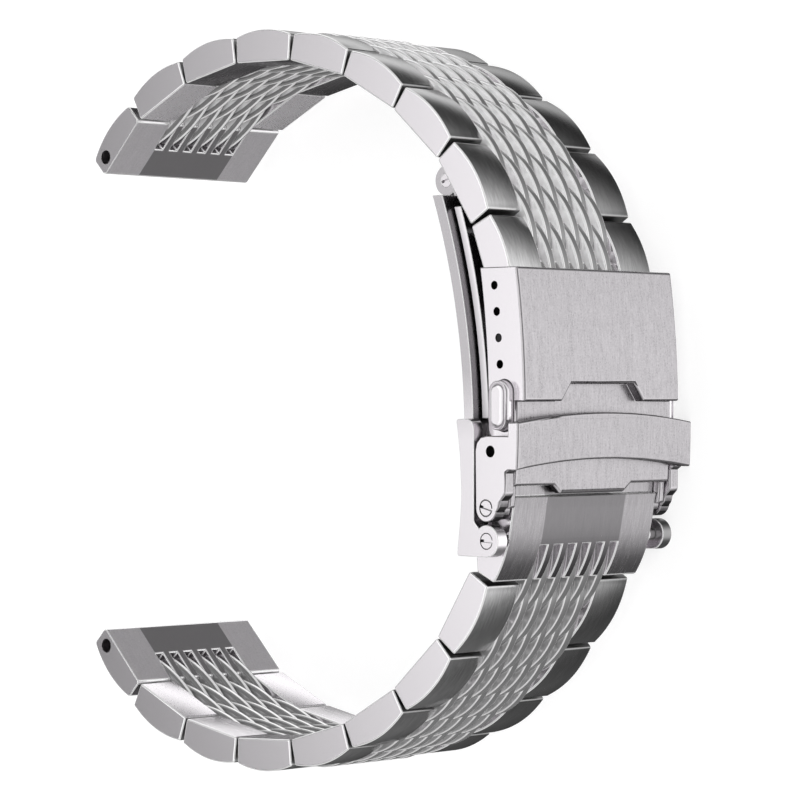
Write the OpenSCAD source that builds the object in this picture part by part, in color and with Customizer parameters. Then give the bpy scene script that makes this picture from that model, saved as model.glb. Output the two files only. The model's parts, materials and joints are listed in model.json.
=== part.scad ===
// Link bracelet for a wrist watch, lying on its side.
// Two straps of side links and offset centre bars meet in a folding clasp with
// two push buttons, four adjustment holes and a safety lock.
// The bracelet's loop runs round the Z axis, with the clasp towards +X and the
// gap for the watch at -X. Positions in the plane of the loop are clasp positions.

/* [Strap] */
// Width of both straps
strap_w = 22; // [18:0.5:24]
// Width of each side block
side_w = 5; // [4:0.1:5.5]
// Length of one pitch, from link to link, with the strap straight
pitch = 8.82; // [8.7:0.01:9]
// Length of a side block on the wrist side
block_len_in = 8.3; // [8:0.05:8.4]
// Length of a side block on the outside
block_len_out = 8.54; // [8.3:0.02:8.6]
// Thickness of a side block at its ends
link_h = 2.9; // [2.6:0.05:3.1]
// Rise of a side block's outer face between its ends
block_crown = 0.65; // [0.3:0.05:0.8]
// Centre bars across the strap, every second one belonging to a side link
bars = 11; // [7:2:13]
// Gap between neighbouring centre bars
bar_gap = 0.06; // [0.04:0.01:0.12]
// Length of a centre bar
bar_len = 8.58; // [8.3:0.02:8.62]
// Thickness of a centre bar in its middle
bar_h = 3.6; // [3.2:0.05:3.8]
// Radius of a centre bar's arched outer face
bar_arch_r = 8.3; // [7:0.1:12]
// Radius of the hinge pins
pin_r = 0.4; // [0.3:0.02:0.44]
// Distance of the hinge pins from the wrist side of the links
pin_level = 1.45; // [1.3:0.05:1.5]
// Depth that a hinge pin goes into each side block
pin_depth = 2; // [1:0.1:3]
// Radial clearance of a pin in the pieces that turn on it
turn_fit = 0.05; // [0.03:0.01:0.08]
// Radial clearance of a pin in the pieces that hold it
hold_fit = 0.01; // [0.005:0.005:0.02]

/* [Lug ends] */
// Length of a lug end link
lug_len = 8.37; // [8:0.1:10]
// Thickness of a lug end link
lug_h = 2.57; // [2.4:0.05:2.8]
// Radius of the hole for the watch's spring bar
lug_bore_r = 0.8; // [0.7:0.05:0.9]
// Distance of that hole from the free end
lug_bore_in = 1.6; // [1.4:0.1:2.2]

/* [Clasp cover] */
// Radius of the cover's raised outer face
cover_r = 98.6; // [94:0.5:104]
// Thickness of the cover's sheet
cover_t = 0.9; // [0.7:0.05:1]
// Step from the raised face down to the plate under the lock
cover_step = 1.15; // [1:0.05:1.2]
// Thickness of the cover's side walls
cover_wall = 0.88; // [0.6:0.02:1]
// Radius of the adjustment holes
adjust_r = 0.45; // [0.4:0.05:0.6]
// Distance between adjustment holes
adjust_gap = 2.67; // [2.5:0.01:2.8]
// Upper end of the cover, above the middle of the bracelet
cover_top = 13.5; // [13:0.1:14.5]
// Depth of the notch in the cover's raised face
notch_depth = 1.8; // [1:0.1:2.2]

/* [Lock and buttons] */
// Thickness of the lock's ears and of the inner blade's cheeks
ear_t = 1.4; // [1:0.1:1.6]
// Thickness of the lock's band
band_t = 1.4; // [1:0.1:1.6]
// Bow of the band's edges between its ends
band_bow = 1; // [0.4:0.1:1.4]
// Length of a push button
button_len = 5.1; // [4.4:0.1:5.3]
// Height of a push button
button_h = 2.46; // [2:0.02:2.5]
// How far a push button stands out of the cover's wall
button_out = 1.3; // [0.9:0.05:1.4]
// Travel of each push button
press = 0.8; // [0.5:0.1:0.9]

/* [Blades] */
// Radius of the inner blade's wrist side
blade_r = 71; // [68:0.5:76]
// Thickness of the inner blade
inner_t = 1.3; // [1:0.05:1.35]
// Thickness of the outer blade
outer_t = 0.9; // [0.7:0.05:0.95]
// Gap between the two blades
blade_gap = 0.25; // [0.2:0.01:0.3]
// Radius of the knuckles where the blades fold
knuckle_r = 1.6; // [1.4:0.05:1.65]
// Radius of the pin that the blades fold on
fold_pin_r = 0.7; // [0.5:0.05:0.8]

/* [Hidden] */
$fn = 72;
// The upper strap's bends from the clasp to the lug, as it lies in the picture.
upper_bends = [15.85, 13.5, 15, 12.5, 13, 13.5, 13, 13.5, 20];
lower_bends = [14.2, 15, 12.5, 13, 13.5, 13, 13.5, 21];
// Positions of the clasp's hinges and of the third adjustment hole.
cover_hinge = [25.73, -5.06];
lock_hinge = [25.14, -10.76];
strap_hinge = [25.21, -14.08];
third_hole = [25.44, 6.36];
// Direction and distance from the third hole to the upper strap's first pin.
upper_turn = 95.1;
upper_first = 1.735;
// The same from a point beside the strap hinge to the lower strap's first pin.
lower_turn = -109;
lower_first = 1.84;
lower_from = [strap_hinge[0] - 2.02, strap_hinge[1]];
// Half widths, measured from the middle of the strap.
side_gap = 0.12;
half = strap_w / 2;
wall_in = half + side_gap;
wall_out = wall_in + cover_wall;
ear_in = wall_out + 0.1;
ear_out = ear_in + ear_t;
centre_w = strap_w - 2 * side_w;
col = centre_w / bars;
edge = 0.25;
eps = 0.02;
far = 60;
// Bars: distance from a pin to the bar's end, and the top above the pins.
bar_r = (bar_len - pitch / 2) / 2;
bar_top = bar_h - pin_level;
bar_under_r = 17;
// Cover: centre of its arcs, and their radii from the outside in.
hole_r = cover_r - 3.3;
hole_turn = 4.75;
cover_c = third_hole - hole_r * [cos(hole_turn), sin(hole_turn)];
plate_r = cover_r - cover_step;
wall_r = cover_r - 5;
arm_r = cover_r - 4.5;
// Blades: centre of their arcs, kept so that the blades stay in their place.
blade_c = [20.5 - blade_r, -4];
// The fold hinge, just inside the inner blade's wrist side and at a fixed height.
fold_in = 0.4416;
fold_y = 22.85;
fold_hinge = [blade_c[0] + sqrt(pow(blade_r - fold_in, 2) - pow(fold_y - blade_c[1], 2)),
    fold_y];
outer_r = blade_r + inner_t + blade_gap;
fold_half = 8.5;
fold_mid = 4;
// Where the outer blade leaves its arc at each end, and where the strips end.
fold_bend = 18.9;
cover_bend = -1.2;
arm_half = half - 3.2;
// Moves the middle of the whole bracelet to the origin.
x_shift = 4.524;
y_shift = 0.026;

function d(a) = [cos(a), sin(a)];

// One strap is its side, its first pin and its bends. The side is 1 for the
// upper strap and -1 for the lower one.
upper = [1, third_hole + upper_first * d(upper_turn), upper_turn, upper_bends];
lower = [-1, lower_from + lower_first * d(lower_turn), lower_turn, lower_bends];

// Walk along a strap from the clasp. After i pitches this gives the last pin,
// the last link's direction, and the middle and direction of the last bridge
// and the middle of the last link.
function walk(strap, i) =
    i == 0 ? [strap[1], strap[2]] :
    let (before = walk(strap, i - 1),
        bend = strap[0] * strap[3][i - 1],
        across = before[1] + bend / 2,
        along = before[1] + bend,
        middle = before[0] + pitch / 2 * d(across))
    [middle + pitch / 2 * d(along), along, before[0] + pitch / 4 * d(across),
        across, middle + pitch / 4 * d(along)];

// Bridges and links are counted from the lug, so the last bend belongs to one.
function steps(strap, n) = len(strap[3]) + 1 - n;

// Put a piece on a strap, with +Y to the outside. On the upper strap +X points
// to the clasp, and on the lower one to the lug.
module place(strap, at, turn) {
    translate([at[0] + x_shift, at[1] + y_shift, ear_out])
        rotate([0, 0, strap[0] > 0 ? turn + 180 : turn])
            children();
}

// A flat shape given thickness between two heights, above and below the middle.
module both_sides(from, to) {
    translate([0, 0, from]) linear_extrude(to - from) children();
    translate([0, 0, -to]) linear_extrude(to - from) children();
}

module middle(reach) {
    translate([0, 0, -reach]) linear_extrude(2 * reach) children();
}

// A shape in Y and Z given thickness along X.
module along_x(from, to) {
    translate([from, 0, 0]) rotate([90, 0, 90]) linear_extrude(to - from) children();
}

module ring(r_in, r_out) {
    difference() {
        circle(r_out);
        circle(r_in);
    }
}

// Part of a ring round the cover's centre or the blades' centre.
module cover_arc(r_in, r_out, y_from, y_to) {
    intersection() {
        translate(cover_c) ring(r_in, r_out);
        translate([0, y_from]) square([far, y_to - y_from]);
    }
}

module blade_arc(r_in, r_out, y_from, y_to) {
    intersection() {
        translate(blade_c) ring(r_in, r_out);
        translate([0, y_from]) square([far, y_to - y_from]);
    }
}

module clasp() {
    translate([x_shift, y_shift, ear_out]) children();
}

// Straps

// Outline of a side block, with the pins' line at zero.
module block_shape() {
    low = -pin_level;
    high = link_h - pin_level;
    a = block_len_in / 2;
    b = block_len_out / 2;
    polygon([[-a + edge, low], [a - edge, low], [a, low + edge],
        [b, high - edge], [b - 6 * edge, high + 5 * edge],
        [6 * edge - b, high + 5 * edge], [-b, high - edge], [-a, low + edge]]);
}

// The round outer face of a side block, with both its long edges broken.
module block_crowned() {
    half_len = block_len_out / 2 - edge;
    high = link_h - pin_level;
    r = (half_len * half_len + block_crown * block_crown) / (2 * block_crown);
    translate([0, high + block_crown - r, -half])
        rotate_extrude(angle = 360)
            polygon([[0, 0], [r - edge, 0], [r - edge * 0.3, edge * 0.3],
                [r, edge], [r, side_w - edge * 0.6], [r - edge * 0.6, side_w],
                [0, side_w]]);
}

module pin_holes(r, from, to) {
    for (x = [-pitch / 4, pitch / 4])
        translate([x, 0, from]) cylinder(r = r, h = to - from);
}

module side_block() {
    difference() {
        intersection() {
            translate([0, 0, -half]) linear_extrude(side_w) block_shape();
            block_crowned();
        }
        pin_holes(pin_r + hold_fit, side_w - half - pin_depth, side_w - half + 1);
    }
}

module bar_shape() {
    intersection() {
        union() {
            square([pitch / 2, 4 * bar_h], center = true);
            for (x = [-pitch / 4, pitch / 4]) translate([x, 0]) circle(bar_r);
        }
        translate([0, bar_top - bar_arch_r]) circle(bar_arch_r);
        translate([0, bar_under_r - pin_level]) circle(bar_under_r);
    }
}

// Centre bars from column "first", two columns apart.
module bar_row(first, hole) {
    for (c = [first : 2 : bars - 1 - first])
        translate([0, 0, (c - (bars - 1) / 2) * col - (col - bar_gap) / 2])
            linear_extrude(col - bar_gap) difference() {
                children();
                for (x = [-pitch / 4, pitch / 4]) translate([x, 0]) circle(hole);
            }
}

module hinge_pin() {
    reach = centre_w / 2 + pin_depth - eps;
    translate([0, 0, -reach]) cylinder(r = pin_r, h = 2 * reach);
}

// A side link: two blocks, the bars between them and the two pins they share.
module side_link(strap, n) {
    at = walk(strap, steps(strap, n));
    color("silver") place(strap, at[4], at[1]) {
        side_block();
        mirror([0, 0, 1]) side_block();
        bar_row(1, pin_r + hold_fit) bar_shape();
        for (x = [-pitch / 4, pitch / 4]) translate([x, 0, 0]) hinge_pin();
    }
}

// A bridge: the bars that join two links and turn on a pin of each.
module bridge(strap, n) {
    at = walk(strap, steps(strap, n));
    color("gray") place(strap, at[2], at[3])
        bar_row(0, pin_r + turn_fit) bar_shape();
}

// The bridge inside the cover, with a small nose on its last pin.
module nose_bar_shape() {
    nose = 2 * pin_r;
    intersection() {
        bar_shape();
        translate([-far, -far]) square([far + pitch / 4, 2 * far]);
    }
    translate([pitch / 4, 0]) circle(nose);
}

module clasp_bridge(strap, n) {
    at = walk(strap, steps(strap, n));
    color("gray") place(strap, at[2], at[3])
        bar_row(0, pin_r + turn_fit) nose_bar_shape();
}

// Slots for the bars of the neighbouring bridge, open towards them.
module bar_slots() {
    for (c = [0 : 2 : bars - 1])
        translate([0, 0, (c - (bars - 1) / 2) * col - (col + bar_gap) / 2])
            linear_extrude(col + bar_gap) children();
}

// Outline of a lug end link, with its hinge pin at zero and +X towards the watch.
module lug_shape(near, low) {
    high = lug_h + low;
    tip = near + lug_len;
    a = lug_len / 2 - edge;
    r = (a * a + block_crown * block_crown) / (2 * block_crown);
    intersection() {
        polygon([[near, low + edge], [near + edge, low], [tip - edge, low],
            [tip, low + edge], [tip, high - edge], [tip - 6 * edge, high + 5 * edge],
            [near + 6 * edge, high + 5 * edge], [near, high - edge]]);
        translate([(near + tip) / 2, high + block_crown - r]) circle(r);
    }
}

module lug_body() {
    near = -1.72;
    low = -1.3;
    high = lug_h + low;
    tip = near + lug_len;
    difference() {
        middle(half) lug_shape(near, low);
        bar_slots() translate([near - 1, -far / 2])
            square([bar_r + 0.25 + 1 - near, far]);
        translate([0, 0, -centre_w / 2 - pin_depth])
            cylinder(r = pin_r + hold_fit, h = centre_w + 2 * pin_depth);
        translate([tip - lug_bore_in, (low + high) / 2, -half - 1])
            cylinder(r = lug_bore_r, h = strap_w + 2);
    }
    hinge_pin();
}

module lug_link(strap) {
    at = walk(strap, len(strap[3]));
    start = at[4] - pitch / 4 * d(at[1]);
    color("silver") place(strap, start, at[1])
        mirror([strap[0] > 0 ? 1 : 0, 0, 0]) lug_body();
}

// The upper strap's hidden end, on the spring bar in the third hole.
module upper_clasp_link() {
    eye = 1.15;
    slot_r = 2 * pin_r + 0.12;
    reach = half - 0.2;
    color("silver") place(upper, upper[1], upper_turn) {
        difference() {
            middle(reach) {
                translate([upper_first, 0]) circle(eye);
                translate([-pitch / 8, -eye * 0.9])
                    square([upper_first + pitch / 8, eye * 1.8]);
            }
            bar_slots() {
                circle(slot_r);
                translate([-far, -far / 2]) square([far + slot_r / 2, far]);
            }
            translate([0, 0, -centre_w / 2 - pin_depth])
                cylinder(r = pin_r + hold_fit, h = centre_w + 2 * pin_depth);
            translate([upper_first, 0, -far / 2])
                cylinder(r = bar_body_r + turn_fit, h = far);
        }
        hinge_pin();
    }
}

// The lower strap's end, which turns on the two strap screws.
module lower_clasp_link() {
    slot_at = bar_r + 0.25;
    start = walk(lower, 1);
    color("silver") {
        clasp() difference() {
            middle(half) lower_end_shape();
            translate([lower[1][0], lower[1][1], 0])
                rotate([0, 0, start[3]])
                    bar_slots() translate([-slot_at, -far / 2]) square([far, far]);
            translate([lower[1][0], lower[1][1], -centre_w / 2 - pin_depth])
                cylinder(r = pin_r + hold_fit, h = centre_w + 2 * pin_depth);
            for (s = [0, 1]) mirror([0, 0, s])
                translate([strap_hinge[0], strap_hinge[1], half - screw_in])
                    cylinder(r = screw_r + turn_fit, h = screw_in + 1);
        }
        place(lower, lower[1], start[3]) hinge_pin();
    }
}

module lower_end_shape() {
    polygon([[21.8, -17.5], [23.7, -18.34], [23.95, -18.3], [25.16, -16.28],
        [25.94, -14.1], [26.6, -10.8], [26.82, -9.75], [26.78, -9.65],
        [26.3, -9.65], [26.38, -8.45], [26.2, -8.3], [24.6, -8.3],
        [23.3, -11.5], [22.2, -14.5], [21.5, -16], [21.6, -17.3]]);
}

// Clasp cover

module cover_notch(y_low) {
    mouth = 6.3;
    top = 4.9;
    along_x(0, far) polygon([[y_low - 1, -mouth], [y_low - 1, mouth], [y_low, mouth],
        [y_low + notch_depth, top], [y_low + notch_depth, -top], [y_low, -mouth]]);
}

module hole_cylinders(r, k_from, k_to) {
    for (k = [k_from : k_to]) {
        turn = hole_turn + (3 - k) * adjust_gap / hole_r * 180 / PI;
        at = cover_c + hole_r * d(turn);
        translate([at[0], at[1], -far / 2]) cylinder(r = r, h = far);
    }
}

module button_shape(grow) {
    r = button_h / 2 + grow;
    span = button_len / 2 - button_h / 2;
    translate(button_at) {
        for (s = [-1, 1]) translate([0, s * span]) circle(r);
        translate([-r, -span]) square([2 * r, 2 * span]);
    }
}

module cover_wall_shape() {
    wall_low = -3.9;
    corner = 1.2;
    cover_arc(wall_r, cover_r - eps, 0, cover_top);
    cover_arc(wall_r + corner, plate_r - eps, wall_low, 0);
    cover_arc(wall_r, wall_r + corner + 1, wall_low + corner, 0);
    translate(cover_c + (wall_r + corner) * d(asin((wall_low + corner - cover_c[1])
        / (wall_r + corner)))) circle(corner);
    cover_arc(arm_r, plate_r - cover_t / 2, lock_hinge[1], wall_low + 1);
    translate(lock_hinge) circle(1.2);
}

module clasp_cover() {
    plate_low = -8.5;
    riser = 2.8;
    tab = 0.9;
    color("gainsboro") clasp() difference() {
        union() {
            middle(wall_out) cover_arc(cover_r - cover_t, cover_r, 0, cover_top);
            middle(wall_out) cover_arc(plate_r - eps, cover_r - eps, 0, riser);
            middle(wall_out)
                cover_arc(plate_r - cover_t, plate_r, plate_low, riser);
            intersection() {
                middle(wall_out)
                    cover_arc(plate_r - cover_t, plate_r, plate_low - tab, 0);
                along_x(0, far) polygon([[plate_low - tab, -4.9],
                    [plate_low - tab, 4.9], [plate_low, 6], [plate_low + 1, 6],
                    [plate_low + 1, -6], [plate_low, -6]]);
            }
            both_sides(wall_in, wall_out) cover_wall_shape();
            // The seat between the two button springs.
            middle(spring_seat) translate([button_at[0] - 0.6, button_at[1] - 0.9])
                square([1.5, 1.8]);
        }
        intersection() {
            cover_notch(0);
            middle(far) translate(cover_c) ring(plate_r, cover_r + 1);
        }
        hole_cylinders(adjust_r, 1, 4);
        translate([cover_hinge[0], cover_hinge[1], -far / 2])
            cylinder(r = cover_pin_r + hold_fit, h = far);
        translate([lock_hinge[0], lock_hinge[1], -far / 2])
            cylinder(r = lock_screw_r + hold_fit, h = far);
        both_sides(wall_in - press - 0.1, far / 2) button_shape(turn_fit);
    }
}

// Spring bar in the third hole: a tube with a thin tip at each end.
bar_body_r = 0.58;
module adjuster_spring_bar() {
    tip_r = adjust_r - hold_fit;
    body = half - 0.4;
    color("silver") clasp() translate([third_hole[0], third_hole[1], 0]) {
        translate([0, 0, -body]) cylinder(r = bar_body_r, h = 2 * body);
        for (s = [0, 1]) mirror([0, 0, s])
            cylinder(r = min(tip_r, bar_body_r - 0.05), h = wall_out - 0.1);
    }
}

cover_pin_r = 0.5;
module cover_hinge_pin() {
    color("silver") clasp() translate([cover_hinge[0], cover_hinge[1], 0])
        middle(wall_out - 0.05) circle(cover_pin_r);
}

// Push buttons

button_at = [26.23, -0.45];
spring_seat = 3.4;
spring_r = 0.5;
// The part of a button inside the cover reaches this far from the middle.
slider_in = wall_in - 4;
module push_button(side) {
    top = wall_out + button_out;
    rim = 0.25;
    flange_out = wall_in - 0.05;
    flange_t = 0.7;
    color("white") clasp() mirror([0, 0, side > 0 ? 0 : 1]) difference() {
        union() {
            translate([0, 0, flange_out - flange_t])
                linear_extrude(top - rim - flange_out + flange_t) button_shape(0);
            translate([0, 0, top - rim - eps])
                linear_extrude(rim + eps) button_shape(-rim * 0.7);
            intersection() {
                translate([0, 0, flange_out - flange_t])
                    linear_extrude(flange_t) button_shape(0.35);
                translate([0, -far / 2, 0]) cube([26.65, far, far]);
            }
            // The slider that reaches past the latch post, and its nose.
            translate([0, 0, slider_in]) linear_extrude(flange_out - slider_in)
                translate([25.35, -1.9]) square([1.3, 3.2]);
            translate([0, 0, slider_in]) linear_extrude(post_in - 0.15 - slider_in)
                translate([25.85, -3.6]) square([0.8, 2]);
        }
        // The inner half of the button's head is under the plate.
        intersection() {
            translate([0, 0, slider_in - 1]) linear_extrude(far) button_shape(1);
            translate([26.65, -far / 2, 0])
                cube([far, far, flange_out]);
        }
        translate([25.98, button_at[1], slider_in - 1])
            cylinder(r = spring_r + 0.08, h = 3);
    }
}

// A closely wound spring on the seat inside the cover, in the slider's bore.
module button_springs() {
    wire = 0.16;
    low = spring_seat + 0.01;
    turns = floor((slider_in + 1.1 - low) / (2.4 * wire));
    color("silver") clasp() for (s = [0, 1]) mirror([0, 0, s])
        translate([25.98, button_at[1], low]) rotate_extrude() {
            for (k = [0 : turns - 1])
                translate([spring_r - wire, wire + k * 2.4 * wire]) circle(wire);
            translate([spring_r - 1.5 * wire, wire])
                square([wire, (turns - 1) * 2.4 * wire]);
        }
}

// Safety lock

ear_r = 1.4;
module ear_shape() {
    difference() {
        union() {
            translate(lock_hinge) circle(ear_r);
            polygon([[23.74, lock_hinge[1]], [23.65, -5], [23.85, -4.2],
                [24.4, -3.65], [25.2, -3.5], [28.2, -3.5], [28.2, -6.9],
                [27.75, -7.2], [27.75, -9.3], [27.6, -9.5], [27.05, -10],
                [26.9, -10.6], [26.5, lock_hinge[1] - 0.34], lock_hinge]);
        }
        translate(cover_hinge) circle(0.6);
    }
}

module safety_lock() {
    inner = plate_r + 0.2;
    top = -2.15;
    low = -6.9;
    bow_r = (ear_out * ear_out + band_bow * band_bow) / (2 * band_bow);
    color("gainsboro") clasp() difference() {
        union() {
            both_sides(ear_in, ear_out) ear_shape();
            intersection() {
                middle(ear_out) cover_arc(inner, inner + band_t, low - 1, top + 2);
                difference() {
                    along_x(0, far) translate([top + band_bow - bow_r, 0])
                        circle(bow_r);
                    along_x(0, far) translate([low + band_bow - bow_r, 0])
                        circle(bow_r);
                }
            }
        }
        for (s = [0, 1]) mirror([0, 0, s])
            translate([lock_hinge[0], lock_hinge[1], 0]) {
                cylinder(r = lock_screw_r + turn_fit, h = far);
                translate([0, 0, ear_out - head_deep])
                    cylinder(r = head_r + turn_fit, h = far);
            }
    }
}

// Screws

lock_screw_r = 0.45;
screw_r = 0.6;
screw_in = 3.2;
head_r = 0.85;
head_deep = 0.6;
slot_w = 0.3;
slot_deep = 0.3;

// A slotted screw along Z, its head's face at zero and its shank below.
module screw(r, reach, turn) {
    difference() {
        union() {
            translate([0, 0, -reach]) cylinder(r = r, h = reach);
            translate([0, 0, 0.05 - head_deep]) cylinder(r = head_r, h = head_deep - 0.15);
            translate([0, 0, -0.1 - eps]) cylinder(r1 = head_r, r2 = head_r - 0.1,
                h = 0.1 + eps);
        }
        rotate([0, 0, turn]) translate([-head_r - 1, -slot_w / 2, -slot_deep])
            cube([2 * head_r + 2, slot_w, 1]);
    }
}

module lock_screws() {
    color("silver") clasp() for (s = [0, 1]) mirror([0, 0, s])
        translate([lock_hinge[0], lock_hinge[1], ear_out])
            screw(lock_screw_r, ear_out - wall_in, 35);
}

module strap_screws() {
    color("silver") clasp() for (s = [0, 1]) mirror([0, 0, s])
        translate([strap_hinge[0], strap_hinge[1], ear_out])
            screw(screw_r, ear_out - half + screw_in - 0.1, -40);
}

// Blades

post_in = wall_in - 3.1;
post_out = wall_in - 1.7;

module cheek_shape() {
    polygon([[21, -2], [21.2, -1.8], [22.6, -1.8], [23.2, -2.1], [23.45, -2.8],
        [23.45, -12], [23.6, -12.3], [24.2, -12.9], strap_hinge,
        [strap_hinge[0], -15.7], [21.3, -15.7], [21.15, -15.4], [21.6, -11.5],
        [21.7, -9.2], [21.5, -5.5]]);
    translate(strap_hinge) circle(1.62);
}

module inner_blade() {
    strip_top = 21.1;
    strip_low = -15.2;
    out = blade_r + inner_t;
    slot_low = fold_bend - 1.2;
    fold_turn = asin((fold_hinge[1] - 0.75 - blade_c[1]) / out);
    color("silver") clasp() difference() {
        union() {
            middle(wall_out - 0.2) blade_arc(blade_r, out, strip_low, strip_top);
            // The neck runs on along the arc to the fold hinge.
            middle(fold_half) intersection() {
                translate(blade_c) ring(blade_r, out);
                translate(blade_c) rotate([0, 0, fold_turn - 4])
                    translate([0, 0]) square([far * 2, far * 2]);
                translate(blade_c) rotate([0, 0, fold_turn + 0.1])
                    translate([0, -far * 2]) square([far * 2, far * 2]);
            }
            middle(fold_half) translate(fold_hinge) circle(knuckle_r);
            both_sides(ear_in, ear_out) cheek_shape();
            both_sides(wall_out - 0.4, ear_in + 0.2)
                translate([20.9, -15]) square([1.3, 12.8]);
            // Latch posts that the push buttons' noses hold.
            both_sides(post_in, post_out) translate([21.5, -3.9]) square([4.9, 1.7]);
        }
        // Room for the outer blade's knuckle and neck.
        middle(fold_mid + 0.15) {
            translate(fold_hinge) circle(knuckle_r + 0.3);
            translate([0, slot_low]) square([far, far]);
        }
        translate([fold_hinge[0], fold_hinge[1], -far / 2])
            cylinder(r = fold_pin_r + hold_fit, h = far);
        for (s = [0, 1]) mirror([0, 0, s])
            translate([strap_hinge[0], strap_hinge[1], 0]) {
                cylinder(r = screw_r + hold_fit, h = far);
                translate([0, 0, ear_out - head_deep])
                    cylinder(r = head_r + hold_fit, h = far);
            }
    }
}

// A flat strip of given thickness between two points.
module strut(a, b, t) {
    v = b - a;
    translate(a) rotate([0, 0, atan2(v[1], v[0])]) {
        translate([0, -t / 2]) square([norm(v), t]);
        circle(t / 2);
    }
}

module outer_blade() {
    mid_r = outer_r + outer_t / 2;
    high = [blade_c[0] + sqrt(mid_r * mid_r - pow(fold_bend - 0.3 - blade_c[1], 2)),
        fold_bend - 0.3];
    low = [blade_c[0] + sqrt(mid_r * mid_r - pow(cover_bend - blade_c[1], 2)),
        cover_bend];
    reach = knuckle_r - outer_t / 2;
    horn_top = 19.9;
    eye = 1;
    color("silver") clasp() difference() {
        union() {
            middle(half - 0.25)
                blade_arc(outer_r, outer_r + outer_t, cover_bend - 0.6, fold_bend);
            both_sides(fold_half + 0.35, half - 0.25)
                blade_arc(outer_r, outer_r + outer_t, fold_bend - 1, horn_top);
            middle(fold_mid) {
                strut(high, fold_hinge + reach * d(36), outer_t);
                translate(fold_hinge) circle(knuckle_r);
            }
            middle(arm_half) {
                strut(low, cover_hinge - 0.45 * d(50), outer_t);
                translate(cover_hinge) circle(eye);
            }
        }
        translate([fold_hinge[0], fold_hinge[1], -far / 2])
            cylinder(r = fold_pin_r + turn_fit, h = far);
        translate([cover_hinge[0], cover_hinge[1], -far / 2])
            cylinder(r = cover_pin_r + turn_fit, h = far);
    }
}

module blade_hinge_pin() {
    color("silver") clasp() translate([fold_hinge[0], fold_hinge[1], 0]) difference() {
        middle(fold_half) circle(fold_pin_r);
        for (s = [0, 1]) mirror([0, 0, s]) rotate([0, 0, 15])
            translate([-2, -slot_w / 2, fold_half - slot_deep]) cube([4, slot_w, 1]);
    }
}

lug_link(upper);  // upper_lug_link
side_link(upper, 2);  // upper_link_2
side_link(upper, 3);  // upper_link_3
side_link(upper, 4);  // upper_link_4
side_link(upper, 5);  // upper_link_5
side_link(upper, 6);  // upper_link_6
side_link(upper, 7);  // upper_link_7
side_link(upper, 8);  // upper_link_8
side_link(upper, 9);  // upper_link_9
upper_clasp_link();
bridge(upper, 1);  // upper_bridge_1
bridge(upper, 2);  // upper_bridge_2
bridge(upper, 3);  // upper_bridge_3
bridge(upper, 4);  // upper_bridge_4
bridge(upper, 5);  // upper_bridge_5
bridge(upper, 6);  // upper_bridge_6
bridge(upper, 7);  // upper_bridge_7
bridge(upper, 8);  // upper_bridge_8
clasp_bridge(upper, 9);  // upper_bridge_9
lug_link(lower);  // lower_lug_link
side_link(lower, 2);  // lower_link_2
side_link(lower, 3);  // lower_link_3
side_link(lower, 4);  // lower_link_4
side_link(lower, 5);  // lower_link_5
side_link(lower, 6);  // lower_link_6
side_link(lower, 7);  // lower_link_7
side_link(lower, 8);  // lower_link_8
lower_clasp_link();
bridge(lower, 1);  // lower_bridge_1
bridge(lower, 2);  // lower_bridge_2
bridge(lower, 3);  // lower_bridge_3
bridge(lower, 4);  // lower_bridge_4
bridge(lower, 5);  // lower_bridge_5
bridge(lower, 6);  // lower_bridge_6
bridge(lower, 7);  // lower_bridge_7
bridge(lower, 8);  // lower_bridge_8
clasp_cover();
adjuster_spring_bar();
cover_hinge_pin();
lock_screws();
button_springs();
safety_lock();
outer_blade();
inner_blade();
blade_hinge_pin();
strap_screws();
push_button(1);  // left_push_button
push_button(-1);  // right_push_button
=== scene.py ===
# %% [markdown]
# # A steel link watch bracelet
#
# The imported CAD model is the frame: every body, pin and hole is already where it belongs.
# This notebook gives it the looks of a real bracelet: side blocks brushed along the strap, centre
# bars with a painted polished reflection, satin flanks, broken edges with a painted glint, and a
# brushed folding clasp. Everything is in metres, in the CAD model's own frame, and one millimetre
# is written as MM so that sizes read like a drawing.

# %% The imported frame
import json
import math

import bmesh
import bpy
import numpy as np
from mathutils import Matrix, Vector

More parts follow.
